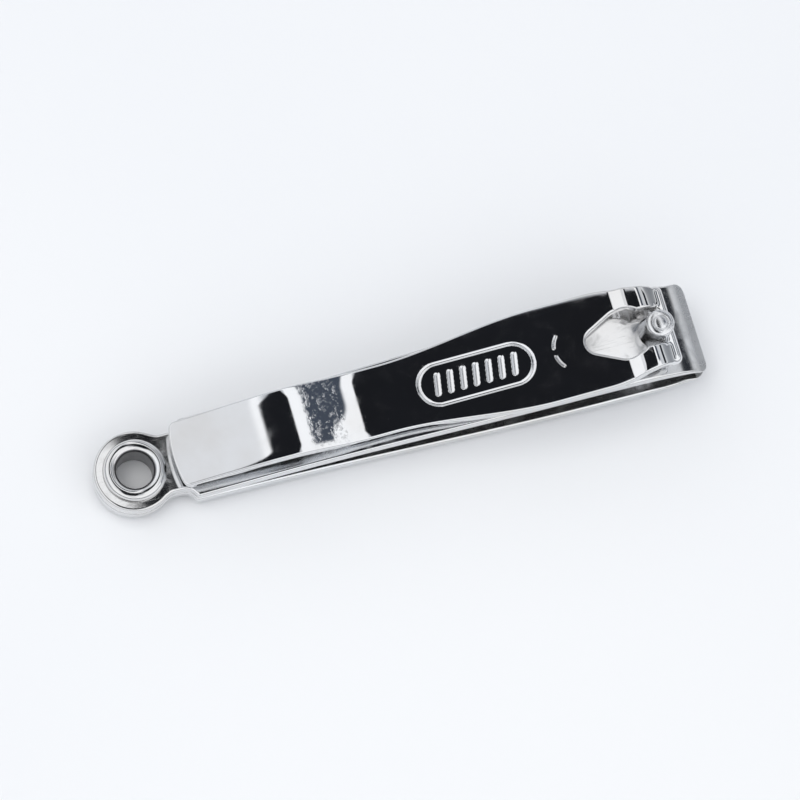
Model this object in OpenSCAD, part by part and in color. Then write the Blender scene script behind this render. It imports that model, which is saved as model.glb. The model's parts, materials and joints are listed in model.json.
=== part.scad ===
// Lever nail clipper: two spring arms held by a hollow rivet, with a turning post and a folding lever.
// Millimetres. +X points to the jaws, +Y across the width, +Z up. The clipper lies flat on z = 0 with
// its lever folded down, and the middle of its outline is at x = y = 0.

/* [Overall] */
// Length from the rear ring to the cutting edges
overall_length = 64; // [63:0.5:66]
// Width over the arms at the jaws
jaw_width = 9.7; // [9.3:0.1:10.5]
// Width over the shoulders next to the rivet
shoulder_width = 8.4; // [8:0.1:9]
// Thickness of each arm
arm_thickness = 1.3; // [1.1:0.05:1.4]

/* [Arms] */
// Outer radius of the ring round the rivet
ring_radius = 4.2; // [4:0.1:4.4]
// Free gap between the two rings, which lets the top arm flex
ring_gap = 0.2; // [0.18:0.01:0.26]
// Height that the top arm climbs between its ring and the post
arm_rise = 4.5; // [4.3:0.1:4.7]
// How far the bottom arm bows down along its length
arm_bow = 0.35; // [0:0.05:0.5]
// Radius of the hollow cut between ring and shoulder
neck_radius = 1.2; // [1:0.1:1.4]

/* [Jaws] */
// Distance from the cutting edges back to the start of the jaw bend
jaw_reach = 7.3; // [7:0.1:7.6]
// Height of the lower cutting edge
lower_edge_z = 3.6; // [3.5:0.05:3.7]
// Open gap between the two cutting edges
jaw_gap = 1.44; // [1.4:0.02:1.6]
// Flat ground on each cutting edge
edge_land = 0.06; // [0.04:0.01:0.1]
// Radius of the jaw corners in plan
jaw_corner = 0.9; // [0.6:0.1:1.2]

/* [Rivet] */
// Radius of the hole through the rivet
eyelet_bore_radius = 1.9; // [1.8:0.05:1.95]
// Outer radius of the rivet's tube
eyelet_tube_radius = 2.35; // [2.3:0.05:2.4]
// Outer radius of the rolled rims
eyelet_rim_radius = 3.25; // [3.1:0.05:3.4]

/* [Post] */
// Distance from the cutting edges back to the post
post_setback = 4.8; // [4.7:0.05:4.9]
// Radius of the post's shaft
post_radius = 1.25; // [1.2:0.01:1.3]
// Radius of the post's domed head
post_head_radius = 1.45; // [1.4:0.01:1.5]
// Radius of the post's foot under the bottom arm
post_foot_radius = 2.1; // [2:0.05:2.3]
// Height of the top of the post
post_top_z = 10.9; // [10.7:0.1:11.1]

/* [Lever] */
// Thickness of the lever's plate
lever_thickness = 1.2; // [1.1:0.05:1.25]
// Width of the lever at its thumb pad
pad_width = 6.9; // [6.6:0.1:7.2]
// Greatest width of the lever, just behind the slot
lever_width = 10.3; // [9.9:0.1:10.6]
// Width of the lever at the bar
nose_width = 8.6; // [8.2:0.1:9.4]
// Height of the step between thumb pad and flat
joggle_height = 1.4; // [1.2:0.05:1.5]
// How far the thumb pad droops for each millimetre towards its end
pad_droop = 0.14; // [0.1:0.005:0.15]
// How far the cam stands above the lever's flat
cam_rise = 0.6; // [0.45:0.05:0.65]
// Radius of the round bar that seats in the post
bar_radius = 0.65; // [0.6:0.01:0.68]
// Radius of the wide end of the slot
slot_radius = 2.6; // [2.4:0.1:2.7]
// Radius of the blunt point of the slot
slot_point_radius = 1.3; // [0.8:0.1:1.5]
// Length of the slot from its point to the bar
slot_length = 8.6; // [8.2:0.1:8.8]

/* [Hidden] */
$fn = 96;
steel = [0.80, 0.81, 0.83];
steel_dark = [0.66, 0.67, 0.70];
// running clearance on a radius
run_gap = 0.05;
base_z = 0.7;
front_x = overall_length / 2;
rear_x = -front_x;
eye_x = rear_x + ring_radius;
post_x = front_x - post_setback;
// the arms leave their rings here, and the jaws start to bend at knee_x
bend_x = eye_x + 5;
knee_x = front_x - jaw_reach;
// the hollow between ring and shoulder is as long as two round cutters set neck_step apart
neck_x = eye_x + 3.4;
neck_step = 0.8;
// the top arm curves gently down from crown_x on
crown_x = knee_x - 7.7;
arm_crown = 0.0078;
ring_top = base_z + 2 * arm_thickness + ring_gap;
upper_edge_z = lower_edge_z + jaw_gap;
// the bar's centre, which is also the axis the lever folds about
bar_x = post_x + 0.85;
bar_z = 8.95;
// the cam rises from rise_x and falls from crest_x to the bar
crest_x = post_x - 1.5;
rise_x = crest_x - 2.6;
cam_ramp = 1.6;
// the lever's half width grows a little along the pad, then from flare_x, and shrinks from narrow_x
tail_x = eye_x + 3.9;
pad_flare = 0.2;
flare_x = eye_x + 26;
narrow_x = post_x - 6.5;
// the lever's flat follows the top arm
flat_slope = 0.0875;
flat_z = 9.05;
flat_x = post_x - 5;
joggle_end_x = eye_x + 24;
joggle_start_x = eye_x + 15.3;
droop_x = eye_x + 13.5;

function clamp01(t) = min(1, max(0, t));
function ease(t) = clamp01(t) * clamp01(t) * (3 - 2 * clamp01(t));
function span(a, b, n) = [for (i = [0 : n]) a + (b - a) * i / n];
function flip(v) = [for (i = [len(v) - 1 : -1 : 0]) v[i]];

// ---- arms ----

// share of the way along the arm, and along the jaw
function arm_t(x) = (x - bend_x) / (knee_x - bend_x);
function jaw_t(x) = clamp01((x - knee_x) / jaw_reach);
// top of the upper arm, first without its jaw
function upper_line(x) =
    ring_top + (x < bend_x ? 0 : arm_rise * (1.15 * arm_t(x) - 0.15 * pow(arm_t(x), 2)))
    - arm_crown * pow(max(0, x - crown_x), 2);
function upper_top(x) =
    upper_line(x) - (upper_line(front_x) - upper_edge_z - edge_land) * pow(jaw_t(x), 2.2);
function upper_under(x) =
    upper_line(x) - arm_thickness
    - (upper_line(front_x) - arm_thickness - upper_edge_z) * pow(jaw_t(x), 2.6);
// bottom of the lower arm
function lower_bow(x) = arm_bow * sin(180 * clamp01(arm_t(x)));
function lower_under(x) =
    base_z - lower_bow(x) + (lower_edge_z - edge_land - base_z) * pow(jaw_t(x), 2.2);
function lower_top(x) =
    base_z + arm_thickness - lower_bow(x)
    + (lower_edge_z - base_z - arm_thickness) * pow(jaw_t(x), 2.6);
// half the arm's width, rounded off at the jaw corners
function corner_cut(x) =
    let (d = max(0, x - front_x + jaw_corner)) jaw_corner - sqrt(max(0, jaw_corner * jaw_corner - d * d));
function arm_half(x) =
    shoulder_width / 2 + (jaw_width - shoulder_width) / 2 * ease((x - bend_x - 8) / 36) - corner_cut(x);

arm_stations = concat(span(rear_x, bend_x, 2), span(bend_x + 2, knee_x - 0.6, 20), span(knee_x, front_x, 16));

module side(points, width) {
    rotate([90, 0, 0])
        linear_extrude(height = width, center = true)
            polygon(points);
}

module arm_plan() {
    xs = concat(span(eye_x + 2.5, front_x - jaw_corner, 24), span(front_x - jaw_corner * 0.85, front_x, 8));
    neck_y = shoulder_width / 2 + 0.1;
    difference() {
        union() {
            translate([eye_x, 0, -1])
                cylinder(r = ring_radius, h = 14);
            translate([0, 0, -1])
                linear_extrude(height = 14)
                    polygon(concat([for (x = xs) [x, -arm_half(x)]], flip([for (x = xs) [x, arm_half(x)]])));
        }
        for (s = [-1, 1]) {
            for (x = [neck_x, neck_x + neck_step])
                translate([x, s * neck_y, -2])
                    cylinder(r = neck_radius, h = 16);
            translate([neck_x + neck_step / 2, s * neck_y, 6])
                cube([neck_step, 2 * neck_radius, 16], center = true);
            // opens the hollow outwards next to the ring
            translate([neck_x - 0.5, s * (neck_y + 0.9), 6])
                cube([1.9, 1.8, 16], center = true);
        }
    }
}

module arm(tops, unders) {
    intersection() {
        side(concat(tops, flip(unders)), 2 * jaw_width);
        arm_plan();
    }
}

module lower_arm() {
    color(steel)
        difference() {
            arm([for (x = arm_stations) [x, lower_top(x)]], [for (x = arm_stations) [x, lower_under(x)]]);
            translate([eye_x, 0, -1])
                cylinder(r = eyelet_tube_radius + 0.01, h = 5);
            translate([post_x, 0, -1])
                cylinder(r = post_radius + run_gap, h = 8);
        }
}

module upper_arm() {
    color(steel)
        difference() {
            arm([for (x = arm_stations) [x, upper_top(x)]], [for (x = arm_stations) [x, upper_under(x)]]);
            translate([eye_x, 0, -1])
                cylinder(r = eyelet_tube_radius + 2 * run_gap, h = 8);
            translate([post_x, 0, 2])
                cylinder(r = post_radius + 0.5, h = 9);
        }
}

// ---- rivet ----

// a hollow tube with a half-round rim rolled out at each end
module eyelet() {
    rim = (eyelet_rim_radius - eyelet_bore_radius) / 2;
    rim_r = eyelet_bore_radius + rim;
    top = ring_top + 0.12;
    low = base_z - 0.02;
    color(steel_dark)
        translate([eye_x, 0, 0])
            rotate_extrude() {
                translate([eyelet_bore_radius, low])
                    square([eyelet_tube_radius - eyelet_bore_radius, top - low]);
                intersection() {
                    translate([rim_r, top])
                        circle(r = rim);
                    translate([eyelet_bore_radius, top])
                        square([2 * rim, rim]);
                }
                intersection() {
                    translate([rim_r, low])
                        circle(r = low < rim ? low : rim);
                    translate([eyelet_bore_radius, 0])
                        square([2 * rim, low]);
                }
            }
}

// ---- post ----

// turns in the lower arm; its notch holds the lever's bar, and its dome keeps the bar down
module post() {
    foot = base_z - run_gap;
    dome = post_top_z - bar_z - bar_radius - run_gap;
    color(steel_dark)
        difference() {
            translate([post_x, 0, 0])
                union() {
                    cylinder(r = post_radius, h = post_top_z - dome / 2);
                    rotate_extrude()
                        polygon([
                            [0, 0],
                            [post_foot_radius - 0.3, 0],
                            [post_foot_radius, 0.3],
                            [post_foot_radius, foot],
                            [0, foot],
                        ]);
                    rotate_extrude()
                        polygon(concat(
                            [[0, post_top_z - dome], [post_radius, post_top_z - dome]],
                            [for (a = span(0, 90, 9)) [
                                post_head_radius - 0.6 * (1 - cos(a)) - 0.25 * ease(a / 90) * sin(a),
                                post_top_z - dome * 0.75 + dome * 0.75 * sin(a),
                            ]],
                            [[0, post_top_z]]
                        ));
                }
            translate([bar_x, 0, bar_z])
                rotate([90, 0, 0])
                    cylinder(r = bar_radius + run_gap, h = 4, center = true);
            translate([bar_x + 1.5, 0, bar_z])
                cube([3, 4, 2 * (bar_radius + run_gap)], center = true);
        }
}

// ---- lever ----

// middle line of the lever's plate: pad, step, flat, cam and the drop to the bar
function flat_line(x) = flat_z + flat_slope * (x - flat_x);
// runs from 0 to d without a corner, over about 2 mm either side of d = 0
function soft_ramp(d) = (d + sqrt(d * d + 4)) / 2;
function pad_lift(x) =
    joggle_height * (1 - ease((x - joggle_start_x) / (joggle_end_x - joggle_start_x)))
    - pad_droop * soft_ramp(droop_x - x);
cam_fall = flat_line(bar_x) + cam_rise - bar_z;
function lever_mid(x) =
    flat_line(x) + pad_lift(x) + cam_rise * ease((x - rise_x) / cam_ramp)
    - cam_fall * ease((x - crest_x) / (bar_x - crest_x));
function lever_tilt(x) = atan((lever_mid(x + 0.01) - lever_mid(x - 0.01)) / 0.02);
function lever_side(x, s) = [
    x - s * lever_thickness / 2 * sin(lever_tilt(x)),
    lever_mid(x) + s * lever_thickness / 2 * cos(lever_tilt(x)),
];
function lever_half(x) =
    pad_width / 2 + pad_flare * ease((x - tail_x) / 20)
    + ((lever_width - pad_width) / 2 - pad_flare) * ease((x - flare_x) / 17)
    - (lever_width - nose_width) / 2 * ease((x - narrow_x) / 7);

module lever_plan() {
    xs = concat(span(tail_x + 1.3, bar_x - 1, 36), [bar_x + 1]);
    tail_r = 12;
    translate([0, 0, 3])
        linear_extrude(height = 12)
            union() {
                polygon(concat([for (x = xs) [x, -lever_half(x)]], flip([for (x = xs) [x, lever_half(x)]])));
                intersection() {
                    translate([tail_x + tail_r, 0])
                        circle(r = tail_r);
                    translate([tail_x - 1, -pad_width / 2])
                        square([3, pad_width]);
                }
            }
}

// teardrop slot that lets the post's head through when the lever is folded over
module lever_slot() {
    point_x = bar_x - slot_length + slot_point_radius;
    wide_x = point_x + 2.9;
    lean = acos((slot_radius - slot_point_radius) / (wide_x - point_x));
    throat = post_head_radius + 0.45;
    translate([wide_x, 0, 3])
        cylinder(r = slot_radius, h = 12);
    translate([point_x, 0, 3])
        cylinder(r = slot_point_radius, h = 12);
    translate([0, 0, 3])
        linear_extrude(height = 12)
            polygon([
                [point_x - slot_point_radius * cos(lean), slot_point_radius * sin(lean)],
                [wide_x - slot_radius * cos(lean), slot_radius * sin(lean)],
                [wide_x, 0],
                [wide_x - slot_radius * cos(lean), -slot_radius * sin(lean)],
                [point_x - slot_point_radius * cos(lean), -slot_point_radius * sin(lean)],
            ]);
    translate([wide_x, -throat, 3])
        cube([8, 2 * throat, 12]);
}

module lever() {
    xs = concat(
        span(tail_x - 0.5, droop_x - 4, 4),
        span(droop_x - 3.4, joggle_end_x + 1, 26),
        span(joggle_end_x + 3, rise_x - 0.5, 6),
        span(rise_x - 0.1, bar_x, 38)
    );
    color(steel)
        union() {
            difference() {
                intersection() {
                    side(
                        concat([for (x = xs) lever_side(x, 1)], flip([for (x = xs) lever_side(x, -1)])),
                        2 * lever_width
                    );
                    lever_plan();
                }
                lever_slot();
            }
            translate([bar_x, 0, bar_z])
                rotate([90, 0, 0])
                    cylinder(r = bar_radius, h = nose_width - 0.4, center = true);
        }
}

lower_arm();
upper_arm();
eyelet();
post();
lever();
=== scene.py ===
import json
import math

import bmesh
import bpy
import numpy as np
from mathutils import Matrix, Vector
from mathutils.geometry import delaunay_2d_cdt


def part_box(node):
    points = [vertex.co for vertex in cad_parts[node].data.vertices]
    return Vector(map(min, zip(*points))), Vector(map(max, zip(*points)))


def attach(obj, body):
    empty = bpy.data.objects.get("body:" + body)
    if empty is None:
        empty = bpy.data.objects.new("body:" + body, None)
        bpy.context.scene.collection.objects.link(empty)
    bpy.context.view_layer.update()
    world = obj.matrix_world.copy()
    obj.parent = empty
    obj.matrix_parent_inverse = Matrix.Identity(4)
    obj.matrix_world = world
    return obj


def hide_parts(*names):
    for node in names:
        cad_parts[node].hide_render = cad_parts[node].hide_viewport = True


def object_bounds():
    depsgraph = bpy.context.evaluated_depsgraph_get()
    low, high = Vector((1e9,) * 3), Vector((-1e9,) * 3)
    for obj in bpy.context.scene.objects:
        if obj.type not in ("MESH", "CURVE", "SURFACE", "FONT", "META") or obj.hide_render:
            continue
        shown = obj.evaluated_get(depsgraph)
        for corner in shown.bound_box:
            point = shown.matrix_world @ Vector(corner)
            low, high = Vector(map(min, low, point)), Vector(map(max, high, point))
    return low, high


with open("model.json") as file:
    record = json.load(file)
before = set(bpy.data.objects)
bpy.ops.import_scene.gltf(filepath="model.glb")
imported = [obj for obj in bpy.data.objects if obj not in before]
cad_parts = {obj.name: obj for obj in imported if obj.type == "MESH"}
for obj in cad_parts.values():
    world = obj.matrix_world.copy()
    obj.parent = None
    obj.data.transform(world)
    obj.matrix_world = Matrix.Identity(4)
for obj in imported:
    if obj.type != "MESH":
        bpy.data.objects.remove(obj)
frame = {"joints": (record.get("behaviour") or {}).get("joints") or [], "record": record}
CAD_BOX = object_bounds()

# A lever nail clipper, folded flat: two sprung arms held by a hollow rivet at the rear, a post through both
# near the jaws, and a lever whose bar sits in the post's notch. Each of these five pieces is one closed mesh
# that takes the place of its CAD node. +X runs towards the cutting edges, and +Z up through the lever.

MM = 0.001

# ---------------------------------------------------------------- places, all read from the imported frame

JOINTS = {j["name"]: j for j in frame["joints"]}
BORE = frame["record"]["mounts"][0]

EYE_X = BORE["pos_m"][0] / MM
BORE_R = BORE["dims"]["r_mm"]
POST_X = JOINTS["post_swivel"]["pos_m"][0] / MM
BAR_X, BAR_Z = (JOINTS["lever_fold"]["pos_m"][i] / MM for i in (0, 2))


def box_mm(node):
    lo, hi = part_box(node)
    return [c / MM for c in lo], [c / MM for c in hi]


LOW_HI = box_mm("lower_arm")[1]
UP_LO, UP_HI = box_mm("upper_arm")
EYE_LO, EYE_HI = box_mm("eyelet")
POST_LO, POST_HI = box_mm("post")
LEV_LO, LEV_HI = box_mm("lever")

REAR_X, FRONT_X = UP_LO[0], UP_HI[0]
RING_R = EYE_X - REAR_X
JAW_W = UP_HI[1] - UP_LO[1]
LEVER_W = LEV_HI[1] - LEV_LO[1]
POST_TOP = POST_HI[2]
EDGE_LOW = LOW_HI[2]

# ---------------------------------------------------------------- the clipper's own measures, in millimetres

# both arms: ring, neck, blade and jaw
ARM_T = 1.3
# the upper arm climbs from the ring's bend, steeper at first, and curves down again towards the jaws
ARM_RISE, ARM_CURVE = 4.5, 0.15
ARM_BOW = 0.35
RING_GAP = 0.2
SHOULDER_W, SHOULDER_R = 8.4, 0.35
# the neck's two concave arcs, at these distances in front of the ring's middle
NECK_R, NECK_FRONT, NECK_REAR, NECK_DROP = 1.2, 4.2, 3.4, 0.1
JAW_REACH = 7.3
# how late the outer and the inner faces of the jaws bend towards the edge
JAW_OUTER, JAW_INNER = 2.2, 2.6
JAW_GAP = 1.44
EDGE_LAND = 0.06
JAW_CORNER = 0.9
BASE_Z = 0.7
BEND_X = EYE_X + 5
WIDEN_X, WIDEN_RUN = BEND_X + 8, 36.0
KNEE_X = FRONT_X - JAW_REACH
CROWN_X = KNEE_X - 7.7
ARM_CROWN = 0.0078
RING_TOP = BASE_Z + 2 * ARM_T + RING_GAP
EDGE_UP = EDGE_LOW + JAW_GAP

# rivet and post
TUBE_R = 2.35
RIM_R = (EYE_HI[0] - EYE_LO[0]) / 2
RIM_WOBBLE = 0.02
RIVET_ROOM = 0.06
POST_R = 1.25
FOOT_R = (POST_HI[0] - POST_LO[0]) / 2
HEAD_R, HEAD_RING_R = 1.45, 0.93
BAR_R = 0.65
RUN_GAP = 0.05

# lever: pad, step, flat, cam, slot and bar
LEVER_T = 1.2
PAD_W = 6.9
NOSE_W = 8.6
JOGGLE_H = 1.4
PAD_DROOP = 0.14
CAM_RISE = 0.6
CAM_RAMP = 1.6
FLAT_SLOPE = 0.0875
FLAT_Z = 9.05
FLAT_X = POST_X - 5
CREST_X = POST_X - 1.5
RISE_X = CREST_X - 2.6
TAIL_X = EYE_X + 3.9
TAIL_R = 12.0
PAD_FLARE, PAD_RUN = 0.2, 20.0
FLARE_X, FLARE_RUN = EYE_X + 26, 17.0
NARROW_X, NARROW_RUN = POST_X - 6.5, 7.0
JOGGLE_X0, JOGGLE_X1 = EYE_X + 15.3, EYE_X + 24
DROOP_X, DROOP_SOFT = EYE_X + 13.5, 2.0
PAD_CORNER, PAD_END = 0.8, 2.1
NOSE_CORNER = 0.7
SLOT_L = 8.6
SLOT_R, SLOT_POINT_R = 2.6, 1.3
SLOT_TAPER = 2.9
THROAT_ROOM, THROAT_R = 0.45, 0.5

# how far polishing has tipped the faces: towards the long edges, at the lever's step, and on the rings
EDGE_LEAN, EDGE_RUN = 0.19, 1.5
STEP_LEAN, STEP_LEAN_X0, STEP_LEAN_X1 = 0.13, EYE_X + 19, EYE_X + 23.4
STEP_LEAN_RISE, STEP_LEAN_FALL = 1.4, 2.4
STEP_LEAN_Y, STEP_LEAN_RUN = 0.6, 4.5
RING_DISH = 0.075

# roundings of the edges
ARM_ROUND, HOLE_ROUND = 0.3, 0.12
LEVER_ROUND, SLOT_ROUND, BAR_ROUND = 0.24, 0.28, 0.32
# from ROLL_X on, the middle of the nose is drawn to the bar's height, as far out as ROLL_Y
ROLL_X, ROLL_LENGTH = BAR_X - 1.3, 0.6
ROLL_Y, ROLL_RUN = 1.7, 0.7


def clamp01(t):
    return min(1.0, max(0.0, t))


def ease(t):
    t = clamp01(t)
    return t * t * (3 - 2 * t)


def span(a, b, n):
    return [a + (b - a) * i / n for i in range(n + 1)]


# ---------------------------------------------------------------- profiles

def arm_t(x):
    return (x - BEND_X) / (KNEE_X - BEND_X)


def jaw_t(x):
    return clamp01((x - KNEE_X) / JAW_REACH)


def upper_line(x):
    t = arm_t(x)
    climb = 0 if x < BEND_X else ARM_RISE * ((1 + ARM_CURVE) * t - ARM_CURVE * t * t)
    return RING_TOP + climb - ARM_CROWN * max(0.0, x - CROWN_X) ** 2


def upper_top(x):
    return upper_line(x) - (upper_line(FRONT_X) - EDGE_UP - EDGE_LAND) * jaw_t(x) ** JAW_OUTER


def upper_under(x):
    drop = upper_line(FRONT_X) - ARM_T - EDGE_UP
    return upper_line(x) - ARM_T - drop * jaw_t(x) ** JAW_INNER


def lower_bow(x):
    return ARM_BOW * math.sin(math.pi * clamp01(arm_t(x)))


def lower_under(x):
    return BASE_Z - lower_bow(x) + (EDGE_LOW - EDGE_LAND - BASE_Z) * jaw_t(x) ** JAW_OUTER


def lower_top(x):
    return BASE_Z + ARM_T - lower_bow(x) + (EDGE_LOW - BASE_Z - ARM_T) * jaw_t(x) ** JAW_INNER


def arm_half(x):
    d = max(0.0, x - FRONT_X + JAW_CORNER)
    cut = JAW_CORNER - math.sqrt(max(0.0, JAW_CORNER ** 2 - d * d))
    return SHOULDER_W / 2 + (JAW_W - SHOULDER_W) / 2 * ease((x - WIDEN_X) / WIDEN_RUN) - cut


def flat_line(x):
    return FLAT_Z + FLAT_SLOPE * (x - FLAT_X)


def pad_lift(x):
    d = DROOP_X - x
    step = 1 - ease((x - JOGGLE_X0) / (JOGGLE_X1 - JOGGLE_X0))
    return JOGGLE_H * step - PAD_DROOP * (d + math.hypot(d, DROOP_SOFT)) / 2


CAM_FALL = flat_line(BAR_X) + CAM_RISE - BAR_Z


def lever_mid(x):
    cam = CAM_RISE * ease((x - RISE_X) / CAM_RAMP)
    return flat_line(x) + pad_lift(x) + cam - CAM_FALL * ease((x - CREST_X) / (BAR_X - CREST_X))


def lever_half(x):
    half = PAD_W / 2 + PAD_FLARE * ease((x - TAIL_X) / PAD_RUN)
    half += ((LEVER_W - PAD_W) / 2 - PAD_FLARE) * ease((x - FLARE_X) / FLARE_RUN)
    return half - (LEVER_W - NOSE_W) / 2 * ease((x - NARROW_X) / NARROW_RUN)


# ---------------------------------------------------------------- outlines, as closed loops

def arc(cx, cy, r, a0, a1, n):
    """Points on a circle from angle a0 to a1, in degrees, both ends included."""
    return [
        (cx + r * math.cos(math.radians(a)), cy + r * math.sin(math.radians(a)))
        for a in span(a0, a1, n)
    ]


def resample(loop, step):
    """The same closed loop with points about step apart, corners kept."""
    out = []
    for i, p in enumerate(loop):
        q = loop[(i + 1) % len(loop)]
        d = math.dist(p, q)
        n = max(1, int(math.ceil(d / step - 1e-6)))
        if d < 1e-6:
            continue
        out += [(p[0] + (q[0] - p[0]) * k / n, p[1] + (q[1] - p[1]) * k / n) for k in range(n)]
    return out


def mirrored(half):
    """A closed loop from its half with y at or above 0, listed from front to rear."""
    low = [(x, -y) for x, y in reversed(half) if y > 1e-6]
    return half + low


def arm_outline():
    """Ring, concave neck, shoulder, blade and jaw, from the front middle back along +Y."""
    neck_y = SHOULDER_W / 2 + NECK_DROP
    shoulder_x = EYE_X + NECK_FRONT + math.sqrt(NECK_R ** 2 - NECK_DROP ** 2) + SHOULDER_R
    half = [(FRONT_X, 0.0)]
    half += [(x, arm_half(x)) for x in span(FRONT_X, FRONT_X - JAW_CORNER, 10)]
    half += [(x, arm_half(x)) for x in span(FRONT_X - JAW_CORNER - 0.5, shoulder_x + 0.4, 90)]
    # shoulder corner, rounded, then down into the neck
    half += arc(shoulder_x, SHOULDER_W / 2 - SHOULDER_R, SHOULDER_R, 75, 150, 6)
    half += arc(EYE_X + NECK_FRONT, neck_y, NECK_R, -25, -90, 10)
    join = math.degrees(math.atan2(neck_y, NECK_REAR))
    half += arc(EYE_X + NECK_REAR, neck_y, NECK_R, -92, -180 + join + 9, 8)
    half += arc(EYE_X, 0, RING_R, join + 2.5, 180, 64)
    return mirrored(half)


def lever_outline():
    """Nose, waist and pad, from the front middle back along +Y to the tail's wide arc."""
    half = [(BAR_X + BAR_R, 0.0)]
    nose_y = NOSE_W / 2 - 0.05
    half += arc(BAR_X + BAR_R - NOSE_CORNER, nose_y - NOSE_CORNER, NOSE_CORNER, 0, 90, 8)
    pad_x = TAIL_X + PAD_END
    half += [(x, lever_half(x)) for x in span(BAR_X - 0.4, pad_x, 110)]
    # corner of the pad, rounded into the tail's arc
    corner_y = lever_half(pad_x) - PAD_CORNER
    corner_turn = math.asin(corner_y / (TAIL_R - PAD_CORNER))
    corner_x = TAIL_X + TAIL_R - (TAIL_R - PAD_CORNER) * math.cos(corner_turn)
    reach = math.degrees(corner_turn)
    half += arc(corner_x, corner_y, PAD_CORNER, 90, 180 - reach, 8)
    half += arc(TAIL_X + TAIL_R, 0, TAIL_R, 180 - reach + 0.8, 180, 18)
    return mirrored(half)


def slot_outline():
    """A teardrop with its point towards the pad, and a narrower throat that ends at the bar."""
    point_x = BAR_X - SLOT_L + SLOT_POINT_R
    wide_x = point_x + SLOT_TAPER
    lean = math.degrees(math.acos((SLOT_R - SLOT_POINT_R) / SLOT_TAPER))
    throat = HEAD_R + THROAT_ROOM
    throat_x = BAR_X - BAR_R
    turn = math.degrees(math.asin(throat / SLOT_R))
    half = [(throat_x, 0.0)]
    half += arc(throat_x - THROAT_R, throat - THROAT_R, THROAT_R, 0, 90, 6)
    half += arc(wide_x, 0, SLOT_R, turn + 4, 180 - lean, 30)
    half += arc(point_x, 0, SLOT_POINT_R, 180 - lean, 180, 8)
    return mirrored(half)


def circle(cx, cy, r, n):
    return arc(cx, cy, r, 0, 360 - 360 / n, n - 1)


# ---------------------------------------------------------------- stamped pattern on the lever

MARK_DEPTH = 0.11
MARK_X, MARK_L, MARK_H = EYE_X + 35.6, 12.0, 4.3
OVAL_LINE = 0.24
STRIPES_EACH_SIDE, STRIPE_PITCH, STRIPE_SLANT = 3, 1.35, 0.18
STRIPE_REACH, STRIPE_LINE = 0.95, 0.34
ARC_X, ARC_R = EYE_X + 46.4, 2.5
ARC_LINE, ARC_SHARE = 0.2, 0.32
# the two arcs run between these angles, in degrees from -X
ARC_FROM, ARC_TO = 6, 45


def groove(distance, half_width):
    """0 outside a rounded groove, up to 1 on its middle."""
    t = np.clip(1 - np.abs(distance) / half_width, 0, 1)
    return t * t * (3 - 2 * t)


def stamp_depth(x, y):
    """How deep the lever's top is pressed in at (x, y): a long oval with plain bars, and two short arcs."""
    x, y = np.asarray(x, float), np.asarray(y, float)
    u, v = x - MARK_X, y
    straight = MARK_L / 2 - MARK_H / 2
    du = np.abs(u) - straight
    oval = np.where(du > 0, np.hypot(np.maximum(du, 0), v), np.abs(v)) - MARK_H / 2
    depth = groove(oval, OVAL_LINE)
    past_end = np.maximum(np.abs(v) - STRIPE_REACH, 0)
    for k in range(-STRIPES_EACH_SIDE, STRIPES_EACH_SIDE + 1):
        aside = u - k * STRIPE_PITCH - STRIPE_SLANT * v
        depth = np.maximum(depth, groove(np.hypot(aside, past_end), STRIPE_LINE))
    ring = np.hypot(x - ARC_X, y) - ARC_R
    angle = np.degrees(np.arctan2(np.abs(y), ARC_X - x))
    on_arc = np.clip((ARC_TO - angle) / 6, 0, 1) * np.clip((angle - ARC_FROM) / 4, 0, 1)
    depth = np.maximum(depth, ARC_SHARE * groove(ring, ARC_LINE) * on_arc)
    return MARK_DEPTH * depth


# ---------------------------------------------------------------- plate builder

def signed_area(loop):
    p = np.array(loop)
    q = np.roll(p, -1, 0)
    return float((p[:, 0] * q[:, 1] - q[:, 0] * p[:, 1]).sum() / 2)


def inside(points, loop):
    x, y = points[:, 0], points[:, 1]
    hit = np.zeros(len(points), bool)
    for (x0, y0), (x1, y1) in zip(loop, loop[1:] + loop[:1]):
        if y0 == y1:
            continue
        cross = (y0 > y) != (y1 > y)
        hit ^= cross & (x < (x1 - x0) * (y - y0) / (y1 - y0) + x0)
    return hit


def loop_distance(points, loop):
    """Distance from each point to the nearest side of the loop."""
    a = np.array(loop)
    b = np.roll(a, -1, 0)
    d = b - a
    best = np.full(len(points), 1e9)
    length2 = (d ** 2).sum(1)
    for i in range(len(a)):
        t = np.clip(((points - a[i]) @ d[i]) / length2[i], 0, 1)
        best = np.minimum(best, np.hypot(*(points - a[i] - t[:, None] * d[i]).T))
    return best


def inward(loop, material_inside):
    """Unit normals in the plane that point into the material, one for each point of the loop."""
    p = np.array(loop)
    tangent = np.roll(p, -1, 0) - np.roll(p, 1, 0)
    tangent /= np.maximum(np.hypot(*tangent.T), 1e-9)[:, None]
    left = np.stack([-tangent[:, 1], tangent[:, 0]], 1)
    return left * (1 if (signed_area(loop) > 0) == material_inside else -1)


EDGE_STEPS = 5
MIN_EDGE = 0.004
# distances over which slopes are measured: on a face, and in the plate's middle and the stamping
FACE_STEP = 0.012
SLOPE_STEP = 0.02
# how clear a grid's points stay of the outline and of a finer grid, as a share of the grid's step
SIDE_ROOM, GRID_ROOM = 0.45, 0.5


def unit(v):
    return v / max(np.linalg.norm(v), 1e-12)


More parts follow.
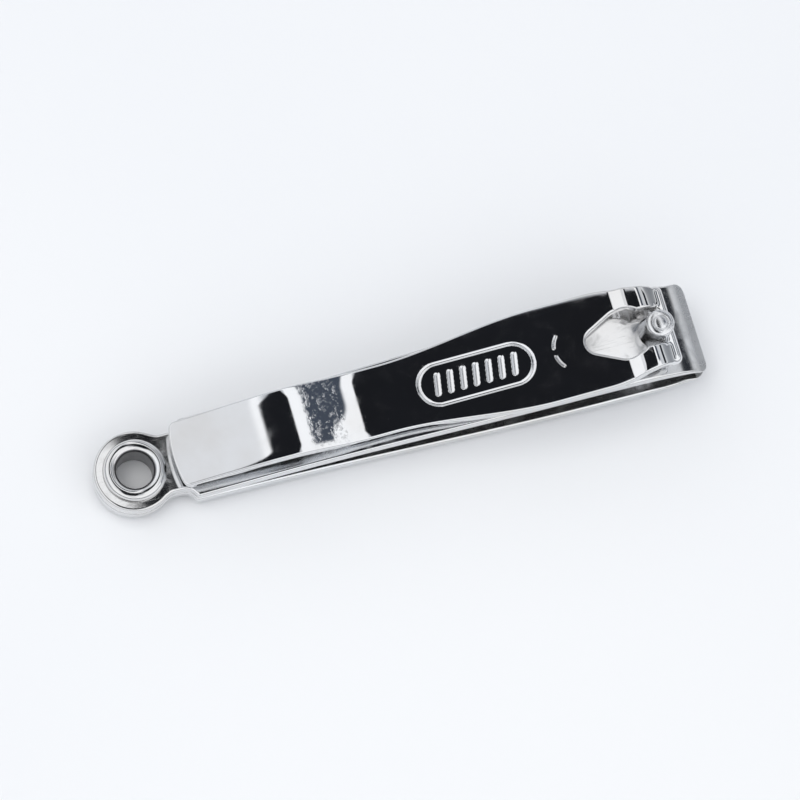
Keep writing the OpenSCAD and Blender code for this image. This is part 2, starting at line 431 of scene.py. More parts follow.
def fill_points(grids, loops):
    """Grid points inside the first loop and outside the others, clear of their sides and of earlier grids."""
    points = []
    for i, (x0, x1, y0, y1, sx, sy) in enumerate(grids):
        gx, gy = np.meshgrid(np.arange(x0, x1, sx), np.arange(y0, y1, sy))
        g = np.stack([gx.ravel(), gy.ravel()], 1)
        g = g[inside(g, loops[0])]
        for loop in loops[1:]:
            g = g[~inside(g, loop)]
        for loop in loops:
            g = g[loop_distance(g, loop) > SIDE_ROOM * min(sx, sy)]
        m = GRID_ROOM * min(sx, sy)
        for bx0, bx1, by0, by1, _, _ in grids[:i]:
            g = g[~((g[:, 0] > bx0 - m) & (g[:, 0] < bx1 + m) & (g[:, 1] > by0 - m) & (g[:, 1] < by1 + m))]
        points.append(g)
    return np.concatenate(points)


def triangulate(loops, inner):
    """Triangles between the loops. Returns the points, the triangles, and each point's number in the joined
    list of loops, or None where it is an inner point."""
    flat, edges = [], []
    for loop in loops:
        base = len(flat)
        flat += loop
        edges += [(base + i, base + (i + 1) % len(loop)) for i in range(len(loop))]
    n_ring = len(flat)
    flat += [tuple(p) for p in inner]
    out_v, _, out_f, sources, _, _ = delaunay_2d_cdt([Vector(p) for p in flat], edges, [], 0, 1e-5)
    xy = np.array([tuple(v) for v in out_v])
    tri = np.array([f for f in out_f if len(f) == 3])
    centres = xy[tri].mean(1)
    good = inside(centres, loops[0])
    for loop in loops[1:]:
        good &= ~inside(centres, loop)
    return xy, tri[good], [next((i for i in s if i < n_ring), None) for s in sources]


def plate(name, outer, holes, point, edge_r, grids, dent=None, lean=None):
    """A bent plate with rounded edges.

    point(x, y, s) places the surface, with s from -1 (under) to 1 (top).
    edge_r(x, y, hole) is the rounding of the edge in mm.
    grids lists (x0, x1, y0, y1, step_x, step_y) for the points inside the outline, the finest first.
    dent(x, y) is how deep the top is stamped, and lean(x, y) is how far the faces' normals tip along x and y.
    """
    verts, normals, faces = [], [], []

    def add(p, n):
        verts.append(p)
        normals.append(unit(n))
        return len(verts) - 1

    def slopes(x, y, s, h):
        """How far the surface moves over a step of h to both sides, along x and along y."""
        return point(x + h, y, s) - point(x - h, y, s), point(x, y + h, s) - point(x, y - h, s)

    def face_normal(x, y, side):
        px, py = slopes(x, y, side, FACE_STEP)
        n = unit(np.cross(px, py)) * side
        if lean is not None:
            lean_x, lean_y = lean(x, y)
            n = unit(n + lean_x * unit(px) + lean_y * unit(py))
        return n

    def edge_points(loop, is_outer):
        """Adds the points of one loop's wall and roundings. Returns them by (point, side, step), and the loop
        that is left of the face inside the rounding."""
        index, face_loop = {}, []
        for i, ((x, y), (nx, ny)) in enumerate(zip(loop, inward(loop, is_outer))):
            half_t = np.linalg.norm(point(x, y, 1) - point(x, y, -1)) / 2
            r = max(min(edge_r(x, y, not is_outer), 0.97 * half_t), MIN_EDGE)
            px, py = slopes(x, y, 0, SLOPE_STEP)
            wall_normal = unit(-(px * nx + py * ny))
            for side in (1, -1):
                for k in range(EDGE_STEPS + 1):
                    # a is 0 on the wall and a right angle where the rounding meets the face
                    a = math.pi / 2 * k / EDGE_STEPS
                    inset = r * (1 - math.cos(a))
                    s = side * (1 - r / half_t * (1 - math.sin(a)))
                    qx, qy = x + nx * inset, y + ny * inset
                    n = math.sin(a) * face_normal(qx, qy, side) + math.cos(a) * wall_normal
                    index[i, side, k] = add(point(qx, qy, s), n)
            face_loop.append((x + nx * r, y + ny * r))
        return index, face_loop

    def edge_faces(index, loop, is_outer):
        forward = (signed_area(loop) > 0) == is_outer
        for i in range(len(loop)):
            j = (i + 1) % len(loop)
            # each row is (side, step) at its lower and at its upper border
            rows = []
            for k in range(EDGE_STEPS):
                rows += [((1, k), (1, k + 1)), ((-1, k + 1), (-1, k))]
            rows.append(((-1, 0), (1, 0)))
            for low, high in rows:
                quad = [index[(i, *low)], index[(j, *low)], index[(j, *high)], index[(i, *high)]]
                faces.append(quad if forward else quad[::-1])

    def stamped(x, y, p, n):
        """Presses the top in by dent, and tips its normal to match."""
        h = SLOPE_STEP
        gx = float(dent(x + h, y) - dent(x - h, y)) / (2 * h)
        gy = float(dent(x, y + h) - dent(x, y - h)) / (2 * h)
        px, py = slopes(x, y, 0, h)
        return p - n * float(dent(x, y)), n + gx * unit(px) + gy * unit(py)

    loops = [(outer, True)] + [(hole, False) for hole in holes]
    edges = []
    for loop, is_outer in loops:
        edges.append(edge_points(loop, is_outer))
        edge_faces(edges[-1][0], loop, is_outer)
    face_loops = [face_loop for _, face_loop in edges]

    # one triangulation, shared by both faces
    xy, tri, on_loop = triangulate(face_loops, fill_points(grids, face_loops))
    loop_points = [(index, i) for index, face_loop in edges for i in range(len(face_loop))]
    for side in (1, -1):
        number = {}
        for v in sorted(set(tri.ravel().tolist())):
            if on_loop[v] is not None:
                index, i = loop_points[on_loop[v]]
                number[v] = index[i, side, EDGE_STEPS]
                continue
            x, y = xy[v]
            p, n = point(x, y, side), face_normal(x, y, side)
            if dent is not None and side > 0:
                p, n = stamped(x, y, p, n)
            number[v] = add(p, n)
        for corners in tri.tolist():
            (ax, ay), (bx, by), (cx, cy) = xy[corners]
            turn = (bx - ax) * (cy - ay) - (by - ay) * (cx - ax)
            face = [number[v] for v in corners]
            faces.append(face if (turn > 0) == (side > 0) else face[::-1])
    return mesh_object(name, np.array(verts) * MM, faces, np.array(normals))


def mesh_object(name, verts, faces, normals=None):
    mesh = bpy.data.meshes.new(name)
    mesh.from_pydata([tuple(v) for v in verts], [], faces)
    mesh.validate()
    mesh.update()
    mesh.polygons.foreach_set("use_smooth", [True] * len(mesh.polygons))
    if normals is not None and len(mesh.vertices) == len(normals):
        mesh.normals_split_custom_set_from_vertices([tuple(n) for n in normals])
    obj = bpy.data.objects.new(name, mesh)
    bpy.context.scene.collection.objects.link(obj)
    return obj


# ---------------------------------------------------------------- turned pieces

LATHE_STEPS = 160


def lathe(name, profile, cx, closed=True, wobble=None):
    """Turns a profile of (r, z) points round the upright axis at x = cx. wobble(a, r, z) is added to r."""
    verts, faces = [], []
    n = len(profile)
    for i in range(LATHE_STEPS):
        a = 2 * math.pi * i / LATHE_STEPS
        for r, z in profile:
            dr = wobble(a, r, z) if wobble else 0.0
            verts.append(((cx + (r + dr) * math.cos(a)) * MM, (r + dr) * math.sin(a) * MM, z * MM))
    last = n if closed else n - 1
    for i in range(LATHE_STEPS):
        j = (i + 1) % LATHE_STEPS
        for k in range(last):
            m = (k + 1) % n
            faces.append([i * n + k, j * n + k, j * n + m, i * n + m])
    return mesh_object(name, verts, faces)


def rounded(path, r, n):
    """A polyline whose corners, apart from its two ends, are cut back by r or less and rounded."""
    out = [path[0]]
    for a, b, c in zip(path, path[1:], path[2:]):
        va, vc = np.subtract(a, b), np.subtract(c, b)
        la, lc = np.linalg.norm(va), np.linalg.norm(vc)
        cut = min(r, 0.45 * la, 0.45 * lc)
        pa, pc = np.add(b, va / la * cut), np.add(b, vc / lc * cut)
        for k in range(n + 1):
            t = k / n
            out.append(tuple((1 - t) ** 2 * pa + 2 * t * (1 - t) * np.array(b) + t * t * pc))
    out.append(path[-1])
    return out


def build_eyelet():
    """A tube through both rings, with its ends rolled out into rims."""
    rim = (RIM_R - BORE_R) / 2
    rim_c = BORE_R + rim
    top = RING_TOP + 0.12
    low = BASE_Z - 0.02
    low_rim = min(rim, low)
    # up the bore, over the upper rim to its tucked edge, down the tube, round the lower rim and up again
    path = [(BORE_R, (top + low) / 2), (BORE_R, top - 0.25)]
    path += [(rim_c - rim * math.cos(math.radians(a)), top + rim * math.sin(math.radians(a)))
             for a in span(8, 172, 22)]
    path += [(RIM_R - 0.02, top + 0.03), (RIM_R - 0.12, top), (rim_c, top), (TUBE_R, top - 0.02)]
    path += [(TUBE_R, low + 0.02), (rim_c, low), (RIM_R - 0.12, low), (RIM_R - 0.02, low - 0.03)]
    path += [(rim_c + rim * math.cos(math.radians(a)), low - low_rim * math.sin(math.radians(a)))
             for a in span(8, 172, 22)]
    path += [(BORE_R, low + 0.25)]

    def wobble(a, r, z):
        """The rolled rims are a little uneven, each in its own way."""
        out = clamp01((r - TUBE_R) / (RIM_R - TUBE_R))
        phase = 1 if z > (top + low) / 2 else 2
        return -RIM_WOBBLE * out * (0.5 + 0.5 * math.sin(3 * a + 0.7) * math.cos(5 * a + phase))

    # turned the other way round, so that the bore's faces look at the axis and the rims' look outwards
    return lathe("eyelet_rolled", path[::-1], EYE_X, wobble=wobble)


def post_profile():
    """Foot, shaft, flared neck and domed head, from the middle of the foot to the middle of the dome."""
    foot = BASE_Z - RUN_GAP
    neck = BAR_Z + BAR_R + RUN_GAP
    shoulder = POST_TOP - 0.42
    path = [(0.0, 0.0), (0.55, 0.0), (FOOT_R - 0.35, 0.02), (FOOT_R - 0.05, 0.2), (FOOT_R, 0.42)]
    path += [(FOOT_R - 0.02, foot), (POST_R, foot), (POST_R, neck + 0.16), (HEAD_R - 0.05, neck + 0.36)]
    path += [(HEAD_R, shoulder - 0.18)]
    # rounded rim, a turned ring groove, and a shallow dome in the middle
    rim_r = HEAD_RING_R
    rim_w = HEAD_R - 0.02 - rim_r
    path += [(rim_r + rim_w * math.cos(math.radians(a)), shoulder + 0.34 * math.sin(math.radians(a)))
             for a in span(8, 90, 8)]
    dome_r = rim_r - 0.24
    path += [(rim_r - 0.10, shoulder + 0.31), (rim_r - 0.17, shoulder + 0.22), (dome_r, shoulder + 0.30)]
    path += [(dome_r * math.sin(math.radians(a)), POST_TOP - 0.12 * (1 - math.cos(math.radians(a))))
             for a in span(84, 0, 8)]
    return rounded(path, 0.07, 4)


def build_post():
    body = lathe("post_turned", post_profile(), POST_X, closed=False)
    # the notch is a round seat with a straight way out towards +X, cut through the shaft
    seat = BAR_R + RUN_GAP
    outline = arc(BAR_X, BAR_Z, seat, 90, 270, 40)
    outline += [(BAR_X + 3, BAR_Z - seat), (BAR_X + 3, BAR_Z + seat)]
    verts = [(x * MM, y * MM, z * MM) for y in (-2.4, 2.4) for x, z in outline]
    n = len(outline)
    faces = [list(range(n)), list(range(2 * n - 1, n - 1, -1))]
    faces += [[(i + 1) % n, i, n + i, n + (i + 1) % n] for i in range(n)]
    cutter = mesh_object("cutter", verts, faces)
    for o in (body, cutter):
        fix_normals(o)
    mod = body.modifiers.new("notch", "BOOLEAN")
    mod.object, mod.operation, mod.solver = cutter, "DIFFERENCE", "EXACT"
    bevel = body.modifiers.new("rim", "BEVEL")
    bevel.width, bevel.segments, bevel.limit_method = 0.06 * MM, 3, "ANGLE"
    bevel.angle_limit = math.radians(38)
    return freeze(body, cutter)


def fix_normals(obj):
    """Joins points that lie on one another, and turns all faces outwards."""
    bm = bmesh.new()
    bm.from_mesh(obj.data)
    bmesh.ops.remove_doubles(bm, verts=bm.verts, dist=1e-7)
    bmesh.ops.recalc_face_normals(bm, faces=bm.faces)
    bm.to_mesh(obj.data)
    bm.free()


def freeze(obj, cutter):
    """Turns the modified mesh into the object's own, and takes the cutter away."""
    dg = bpy.context.evaluated_depsgraph_get()
    mesh = bpy.data.meshes.new_from_object(obj.evaluated_get(dg))
    obj.modifiers.clear()
    obj.data = mesh
    bpy.data.objects.remove(cutter)
    mesh.polygons.foreach_set("use_smooth", [True] * len(mesh.polygons))
    mesh.set_sharp_from_angle(angle=math.radians(40))
    return obj


# ---------------------------------------------------------------- arms and lever

def arm_point(top, under):
    """The surface of an arm whose top and underside follow the heights top(x) and under(x)."""
    def point(x, y, s):
        xc = min(x, FRONT_X)
        t, u = top(xc), under(xc)
        return np.array([x, y, (t + u) / 2 + s * (t - u) / 2])
    return point


def build_arm(name, top, under, post_hole):
    outer = resample(arm_outline(), 0.35)
    holes = [circle(EYE_X, 0, TUBE_R + RIVET_ROOM, 72), circle(POST_X, 0, post_hole, 60)]

    def edge_r(x, y, hole):
        """Rounded all round, but nearly sharp at the cutting edge."""
        sharp = 0.9 * ease((x - FRONT_X + 2.2) / 1.6)
        return (HOLE_ROUND if hole else ARM_ROUND) * (1 - sharp)

    def lean(x, y):
        """The riveted ring is dished slightly, so its face leans in towards the rivet."""
        dx, d = x - EYE_X, max(1.0, math.hypot(x - EYE_X, y))
        amount = RING_DISH * (1 - ease((dx - 1.5) / 1.5))
        return -amount * dx / d, -amount * y / d

    w = JAW_W / 2
    grids = [(KNEE_X - 2, FRONT_X, -w, w, 0.16, 0.4), (REAR_X, FRONT_X, -w, w, 0.8, 0.8)]
    return plate(name, outer, holes, arm_point(top, under), edge_r, grids, lean=lean)


def lever_point(x, y, s):
    """The lever's surface, half its thickness off the middle line and square to it."""
    h = 0.01
    across = ease((abs(y) - ROLL_Y) / ROLL_RUN)

    def mid(q):
        z = lever_mid(min(q, BAR_X))
        if q > ROLL_X:
            z = z + (BAR_Z - z) * (1 - across) * ease((q - ROLL_X) / ROLL_LENGTH)
        return z

    tilt = math.atan2(mid(x + h) - mid(x - h), 2 * h)
    off = s * LEVER_T / 2
    return np.array([x - off * math.sin(tilt), y, mid(x) + off * math.cos(tilt)])


def build_lever():
    outer = resample(lever_outline(), 0.3)
    slot = resample(slot_outline(), 0.2)

    def edge_r(x, y, hole):
        bar = ease((x - BAR_X + 1.1) / 0.6)
        return (SLOT_ROUND if hole else LEVER_ROUND) + BAR_ROUND * bar

    def lean(x, y):
        """The faces fall a little towards both long edges, and the step's end is softer on the near side."""
        near = ease((STEP_LEAN_Y - y) / STEP_LEAN_RUN)
        along = ease((x - STEP_LEAN_X0) / STEP_LEAN_RISE) * ease((STEP_LEAN_X1 - x) / STEP_LEAN_FALL)
        edge = ease((abs(y) - lever_half(x) + EDGE_RUN) / EDGE_RUN)
        return -STEP_LEAN * along * near, math.copysign(EDGE_LEAN * edge, y)

    w = LEVER_W / 2
    fine_x = RISE_X - 0.3
    mark_x, mark_y = MARK_L / 2 + 0.5, MARK_H / 2 + 0.5
    grids = [
        (MARK_X - mark_x, MARK_X + mark_x, -mark_y, mark_y, 0.085, 0.085),
        (ARC_X - ARC_R - 0.4, ARC_X - ARC_R + 1.1, -2.1, 2.1, 0.085, 0.085),
        (fine_x, BAR_X + BAR_R, -w, w, 0.16, 0.35),
        (DROOP_X - 4, JOGGLE_X1 + 1.5, -w, w, 0.25, 0.5),
        (TAIL_X, BAR_X, -w, w, 0.6, 0.6),
    ]
    return plate("lever_pressed", outer, [slot], lever_point, edge_r, grids, dent=stamp_depth, lean=lean)


# ---------------------------------------------------------------- materials

class Nodes:
    """A small helper that keeps the node graph of a material or the world readable."""

    def __init__(self, owner):
        self.owner = owner
        owner.use_nodes = True
        self.tree = owner.node_tree
        self.tree.nodes.clear()

    def feed(self, socket, value):
        """Links value to the socket if it is one itself, and sets it otherwise."""
        if isinstance(value, bpy.types.NodeSocket):
            self.tree.links.new(value, socket)
        else:
            socket.default_value = value

    def add(self, kind, **values):
        node = self.tree.nodes.new(kind)
        for name, value in values.items():
            self.feed(node.inputs[name], value)
        return node

    def mapping(self, source, scale, rotation=(0, 0, 0)):
        return self.add("ShaderNodeMapping", Vector=source, Scale=scale, Rotation=rotation).outputs[0]

    def noise(self, source, scale, detail=3.0, rough=0.5, distortion=0.0):
        n = self.add("ShaderNodeTexNoise", Vector=source, Scale=scale, Detail=detail, Roughness=rough,
                     Distortion=distortion)
        return n.outputs["Fac"]

    def ramp(self, value, a, b, to_a=0.0, to_b=1.0):
        n = self.add("ShaderNodeMapRange", Value=value)
        n.interpolation_type = "SMOOTHSTEP"
        for key, v in (("From Min", a), ("From Max", b), ("To Min", to_a), ("To Max", to_b)):
            n.inputs[key].default_value = v
        return n.outputs[0]

    def math(self, op, a, b=0.0):
        n = self.tree.nodes.new("ShaderNodeMath")
        n.operation = op
        self.feed(n.inputs[0], a)
        self.feed(n.inputs[1], b)
        return n.outputs[0]

    def axis_distance(self, place, axis_x):
        """Distance from the upright axis at x = axis_x, y = 0."""
        dx = self.math("SUBTRACT", place[0], axis_x)
        squares = self.math("ADD", self.math("MULTIPLY", dx, dx), self.math("MULTIPLY", place[1], place[1]))
        return self.math("SQRT", squares)

    def mix_color(self, fac, a, b):
        """Colour a where fac is 0 and colour b where it is 1, each an (r, g, b) or another node's output."""
        n = self.tree.nodes.new("ShaderNodeMix")
        n.data_type = "RGBA"
        self.feed(n.inputs[0], fac)
        for socket, color in ((n.inputs[6], a), (n.inputs[7], b)):
            self.feed(socket, (*color, 1.0) if isinstance(color, tuple) else color)
        return n.outputs[2]

    def surface(self, color, roughness, bump, metallic):
        """Ends a material with one shader, and returns the material."""
        shader = self.add("ShaderNodeBsdfPrincipled", Metallic=metallic, Roughness=roughness)
        self.feed(shader.inputs["Base Color"], color)
        self.feed(shader.inputs["Normal"], bump.outputs[0])
        self.add("ShaderNodeOutputMaterial", Surface=shader.outputs[0])
        return self.owner


PLATED = (0.80, 0.81, 0.825)
PLATED_WARM = (0.74, 0.735, 0.73)
GROUND = (0.60, 0.61, 0.62)
# painted shade for the wall inside the rivet's bore
BORE_PAINTED_SHADE = (0.15, 0.15, 0.16)
FLOOR_COOL = (0.80, 0.815, 0.84)
FLOOR_PALE = (0.84, 0.85, 0.865)


def plated(name, rough, haze, scratch, ground_x=None, turned=None, thumbed=None, bored=None):
    """Bright plated steel: faint haze, hairline scratches and dulled edges.

    ground_x is where a ground cutting bevel starts, and turned is the x of the axis of lathe marks.
    thumbed is the (x, x) stretch that carries dried finger marks.
    bored is the (x, radius) of a hole whose wall is left dull, and painted dark as shade inside the hole. All
    in millimetres.
    """
    n = Nodes(bpy.data.materials.new(name))
    obj = n.add("ShaderNodeTexCoord").outputs["Object"]
    # the meshes are in metres, and every pattern below is in millimetres
    scene_mm = n.mapping(obj, (1000.0, 1000.0, 1000.0))
    place_mm = n.add("ShaderNodeSeparateXYZ", Vector=scene_mm).outputs
    broad = n.noise(scene_mm, 0.09, 4.0, 0.6)
    prints = n.noise(scene_mm, 0.55, 5.0, 0.62, 0.6)
    fine = n.noise(scene_mm, 9.0, 3.0, 0.6)
    # hairlines that run mostly along the tool, and a few across it
    along = n.noise(n.mapping(scene_mm, (0.10, 6.5, 2.0), (0, 0, 0.06)), 2.2, 2.0, 0.7)
    across = n.noise(n.mapping(scene_mm, (5.0, 0.16, 2.0), (0, 0, 0.5)), 1.7, 2.0, 0.7)
    lines = n.math("MAXIMUM", n.ramp(along, 0.60, 0.74), n.ramp(across, 0.66, 0.78))
    hair = n.math("MULTIPLY", lines, n.ramp(broad, 0.40, 0.62))
    worn = n.ramp(n.add("ShaderNodeNewGeometry").outputs["Pointiness"], 0.515, 0.56)
    smear = n.ramp(prints, 0.45, 0.72)

    rough_value = n.math("ADD", n.math("MULTIPLY", smear, haze), rough)
    rough_value = n.math("ADD", rough_value, n.math("MULTIPLY", hair, 0.10 * scratch))
    rough_value = n.math("ADD", rough_value, n.math("MULTIPLY", worn, 0.10))
    color = n.mix_color(n.ramp(broad, 0.35, 0.7), PLATED, PLATED_WARM)
    color = n.mix_color(n.math("MULTIPLY", hair, 0.25 * scratch), color, GROUND)

    height = n.math("MULTIPLY", broad, 0.010)
    height = n.math("ADD", height, n.math("MULTIPLY", prints, 0.0006))
    height = n.math("SUBTRACT", height, n.math("MULTIPLY", hair, 0.0016 * scratch))
    height = n.math("ADD", height, n.math("MULTIPLY", fine, 0.00018))
    if ground_x is not None:
        # the bevel ahead of ground_x, duller, with grinding marks
        mask = n.ramp(place_mm[0], ground_x, ground_x + 0.12)
        grind = n.noise(n.mapping(scene_mm, (0.5, 14.0, 0.5)), 1.6, 3.0, 0.7)
        rough_value = n.math("ADD", rough_value, n.math("MULTIPLY", mask, 0.17))
        color = n.mix_color(n.math("MULTIPLY", mask, n.ramp(grind, 0.3, 0.75, 0.25, 0.85)), color, GROUND)
        height = n.math("ADD", height, n.math("MULTIPLY", n.math("MULTIPLY", mask, grind), 0.004))
    if turned is not None:
        # fine rings round the axis, which climb with the height too
        climb = n.math("ADD", n.axis_distance(place_mm, turned), n.math("MULTIPLY", place_mm[2], 0.7))
        ridge = n.math("SINE", n.math("MULTIPLY", climb, 62.0))
        height = n.math("ADD", height, n.math("MULTIPLY", ridge, 0.0006))
        rough_value = n.math("ADD", rough_value, 0.05)
    if bored is not None:
        bore_x, bore_r = bored
        # the bore's wall: painted shade darkens its colour, and it is left rougher too
        wall = n.ramp(n.axis_distance(place_mm, bore_x), bore_r + 0.22, bore_r + 0.04)
        color = n.mix_color(n.math("MULTIPLY", wall, 0.85), color, BORE_PAINTED_SHADE)
        rough_value = n.math("ADD", rough_value, n.math("MULTIPLY", wall, 0.22))
    if thumbed is not None:
        # small dull spots in larger patches, with ragged ends to the stretch
        start, end = thumbed
        ragged = n.math("ADD", place_mm[0], n.math("MULTIPLY", prints, 1.2))
        stretch = n.math("MULTIPLY", n.ramp(ragged, start, start + 0.5), n.ramp(ragged, end, end - 0.5))
        dots = n.ramp(n.noise(scene_mm, 2.1, 3.0, 0.65), 0.45, 0.64)
        patches = n.ramp(n.noise(scene_mm, 0.9, 3.0, 0.6, 0.8), 0.34, 0.58)
        marks = n.math("MULTIPLY", stretch, n.math("MULTIPLY", dots, patches))
        rough_value = n.math("ADD", rough_value, n.math("MULTIPLY", marks, 0.20))
        height = n.math("ADD", height, n.math("MULTIPLY", marks, 0.007))
    bump = n.add("ShaderNodeBump", Strength=0.7, Distance=0.001, Height=height)
    return n.surface(color, rough_value, bump, metallic=1.0)


def pale_floor():
    n = Nodes(bpy.data.materials.new("pale_floor"))
    obj = n.add("ShaderNodeTexCoord").outputs["Object"]
    grain = n.noise(obj, 260.0, 4.0, 0.6)
    drift = n.noise(obj, 6.0, 2.0, 0.5)
    color = n.mix_color(n.ramp(drift, 0.3, 0.7), FLOOR_COOL, FLOOR_PALE)
    bump = n.add("ShaderNodeBump", Strength=0.12, Distance=0.0002, Height=grain)
    return n.surface(color, 0.55, bump, metallic=0.0)


# ---------------------------------------------------------------- studio

def area_light(name, place, size, power, color):
    data = bpy.data.lights.new(name, "AREA")
    data.shape = "RECTANGLE"
    data.size, data.size_y = size
    data.energy, data.color = power, color
    obj = bpy.data.objects.new(name, data)
    bpy.context.scene.collection.objects.link(obj)
    # it looks at the origin, and isn't seen as a lamp in the plating
    centre = Vector(place)
    obj.matrix_world = Matrix.Translation(centre) @ centre.to_track_quat("Z", "Y").to_matrix().to_4x4()
    obj.visible_glossy = False


# colours of the studio, from the soft boxes down to the horizon
SOFT_WHITE = (1.12, 1.13, 1.15)
SOFT_GREY = (0.88, 0.895, 0.925)
PALE = (0.80, 0.82, 0.85)
CEILING = (0.60, 0.62, 0.66)
WALL = (0.66, 0.68, 0.71)
HORIZON = (0.26, 0.275, 0.30)
DUSK = (0.068, 0.082, 0.11)
DARK_GAP = (0.016, 0.019, 0.026)
FLAG_BLACK = (0.012, 0.013, 0.016)

# what hangs overhead, as (from, to) in degrees from straight up towards +X
LEFT_BOX, LEFT_BOX_GREY, RIGHT_BOX = (-58, -8), (-30, -12.5), (8, 20)
DIM_PANEL, DARK_PANEL = (20, 34), (56.5, 68.5)
FLAG_HALF = 9.5
# and in degrees towards +Y
DIM_ACROSS, DARK_ACROSS, FLAG_ACROSS = (0, 60), (-22, 45), (-27, 42)
NEAR_WALL = (-24, -34)
# the flag spreads by these degrees over its near part, and its far corners are cut back
FLAG_NEAR, SPREAD_LEFT, SPREAD_RIGHT = (9, -26), 15.0, 10.0
FLAG_FAR, CORNER_CUT = (17, 38), 5.0
# heights, as the z of a direction, at which the walls brighten and the overhead panels begin
WALL_HEIGHT, PANEL_HEIGHT = (0.02, 0.5), (0.22, 0.34)

# half the floor's side, in metres
FLOOR_REACH = 3.0


def build_world():
    """Soft studio all round: a black flag overhead between two soft boxes, a dim and a dark panel towards +X,
    a bright wall on the near side, and plain walls that fade to the horizon."""
    world = bpy.data.worlds.new("studio")
    bpy.context.scene.world = world
    n = Nodes(world)
    ray = n.add("ShaderNodeTexCoord").outputs["Generated"]
    x, y, z = n.add("ShaderNodeSeparateXYZ", Vector=ray).outputs
    degree = 180 / math.pi
    lean_x = n.math("MULTIPLY", n.math("ARCTAN2", x, z), degree)
    lean_y = n.math("MULTIPLY", n.math("ARCTAN2", y, z), degree)

    def band(value, limits, soft):
        lo, hi = limits
        return n.math("MULTIPLY", n.ramp(value, lo - soft, lo + soft), n.ramp(value, hi + soft, hi - soft))

    color = n.mix_color(n.ramp(z, 0.42, 0.9), PALE, CEILING)
    # a bright wall on the near side, which the side walls of the arms and lever catch
    color = n.mix_color(n.ramp(lean_y, *NEAR_WALL), color, SOFT_WHITE)
    dim = band(lean_x, DIM_PANEL, 1.5)
    color = n.mix_color(n.math("MULTIPLY", dim, band(lean_y, DIM_ACROSS, 4.0)), color, DUSK)
    color = n.mix_color(n.math("MULTIPLY", dim, n.ramp(lean_y, 6, -4)), color, SOFT_WHITE)
    dark = n.math("MULTIPLY", band(lean_x, DARK_PANEL, 2.0), band(lean_y, DARK_ACROSS, 4.0))
    color = n.mix_color(dark, color, DARK_GAP)
    color = n.mix_color(band(lean_x, LEFT_BOX, 2.0), color, SOFT_WHITE)
    color = n.mix_color(band(lean_x, LEFT_BOX_GREY, 1.2), color, SOFT_GREY)
    color = n.mix_color(band(lean_x, RIGHT_BOX, 1.2), color, SOFT_WHITE)
    near = n.ramp(lean_y, *FLAG_NEAR)
    cut = n.math("MULTIPLY", n.ramp(lean_y, *FLAG_FAR), CORNER_CUT)
    left = n.math("SUBTRACT", n.math("ADD", lean_x, n.math("MULTIPLY", near, SPREAD_LEFT)), cut)
    right = n.math("ADD", n.math("ADD", lean_x, n.math("MULTIPLY", near, SPREAD_RIGHT)), cut)
    inner, outer = FLAG_HALF - 0.8, FLAG_HALF + 0.8
    flag = n.math("MULTIPLY", n.ramp(left, -outer, -inner), n.ramp(right, outer, inner))
    color = n.mix_color(n.math("MULTIPLY", flag, band(lean_y, FLAG_ACROSS, 3.0)), color, FLAG_BLACK)
    # all of that hangs overhead; the walls below it fade to a dim horizon
    wall = n.mix_color(n.ramp(z, *WALL_HEIGHT), HORIZON, WALL)
    color = n.mix_color(n.ramp(z, *PANEL_HEIGHT), wall, color)
    back = n.add("ShaderNodeBackground", Color=color, Strength=1.0)
    n.add("ShaderNodeOutputWorld", Surface=back.outputs[0])


def build_studio():
    build_world()
    r = FLOOR_REACH
    floor = mesh_object("floor", [(-r, -r, 0), (r, -r, 0), (r, r, 0), (-r, r, 0)], [[0, 1, 2, 3]])
    floor.data.materials.append(pale_floor())
    area_light("key", (-0.16, 0.06, 0.70), (0.50, 0.45), 1.95, (1.0, 0.99, 0.97))
    area_light("fill", (0.5, -0.4, 0.5), (0.6, 0.4), 0.5, (0.95, 0.97, 1.0))
    bpy.context.scene.view_settings.view_transform = "Standard"


# ---------------------------------------------------------------- camera

VIEW_AZIMUTH, VIEW_ELEVATION, VIEW_RISE = -38.3, 72.7, 14.0
VIEW_DISTANCE = 0.373
LENS = 165.0


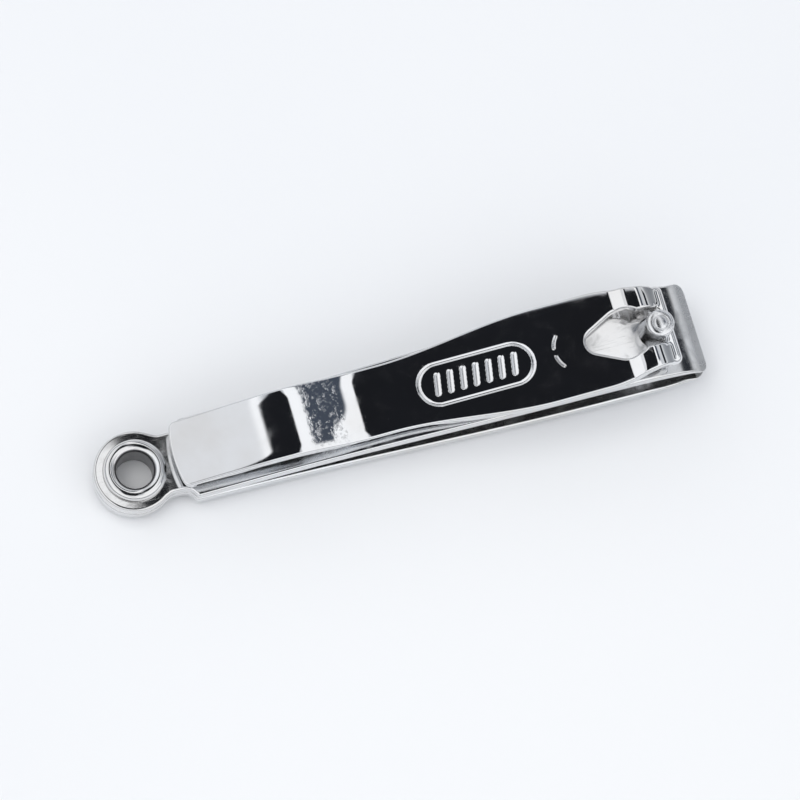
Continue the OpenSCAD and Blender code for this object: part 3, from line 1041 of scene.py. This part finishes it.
def build_camera():
    a, e = math.radians(VIEW_AZIMUTH), math.radians(VIEW_ELEVATION)
    back = Vector((math.sin(a) * math.cos(e), -math.cos(a) * math.cos(e), math.sin(e)))
    lo, hi = CAD_BOX
    target = (lo + hi) / 2
    # the clipper's length rises to the right by VIEW_RISE in the picture
    along = (Vector((1, 0, 0)) - back * back.x).normalized()
    right = Matrix.Rotation(math.radians(-VIEW_RISE), 3, back) @ along
    up = back.cross(right)
    basis = Matrix((right, up, back)).transposed()
    data = bpy.data.cameras.new("camera")
    data.lens = LENS
    data.clip_start = 0.01
    cam = bpy.data.objects.new("camera", data)
    cam.matrix_world = Matrix.Translation(target + back * VIEW_DISTANCE) @ basis.to_4x4()
    bpy.context.scene.collection.objects.link(cam)
    bpy.context.scene.camera = cam


# ---------------------------------------------------------------- the pieces, each on its CAD body

def place(obj, node, slot, material):
    body = next(b for b, members in frame["record"]["behaviour"]["bodies"].items() if node in members)
    obj.data.materials.clear()
    obj.data.materials.append(material)
    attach(obj, body)
    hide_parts(node)


def build_object():
    arm_steel = plated("plated_arm", rough=0.10, haze=0.12, scratch=0.8, ground_x=FRONT_X - 0.95)
    lever_steel = plated("plated_lever", rough=0.045, haze=0.05, scratch=0.35,
                         thumbed=(JOGGLE_X0 + 2.6, JOGGLE_X1 - 1.8))
    rivet_steel = plated("plated_rivet", rough=0.09, haze=0.10, scratch=0.6, bored=(EYE_X, BORE_R))
    post_steel = plated("turned_post", rough=0.12, haze=0.10, scratch=0.4, turned=POST_X)
    lower = build_arm("lower_arm_blade", lower_top, lower_under, POST_R + RUN_GAP)
    upper = build_arm("upper_arm_blade", upper_top, upper_under, POST_R + 0.5)
    place(lower, "lower_arm", "arm_chrome", arm_steel)
    place(upper, "upper_arm", "arm_chrome", arm_steel)
    place(build_eyelet(), "eyelet", "rivet_chrome", rivet_steel)
    place(build_post(), "post", "post_steel", post_steel)
    place(build_lever(), "lever", "lever_chrome", lever_steel)


build_object()
build_studio()
build_camera()
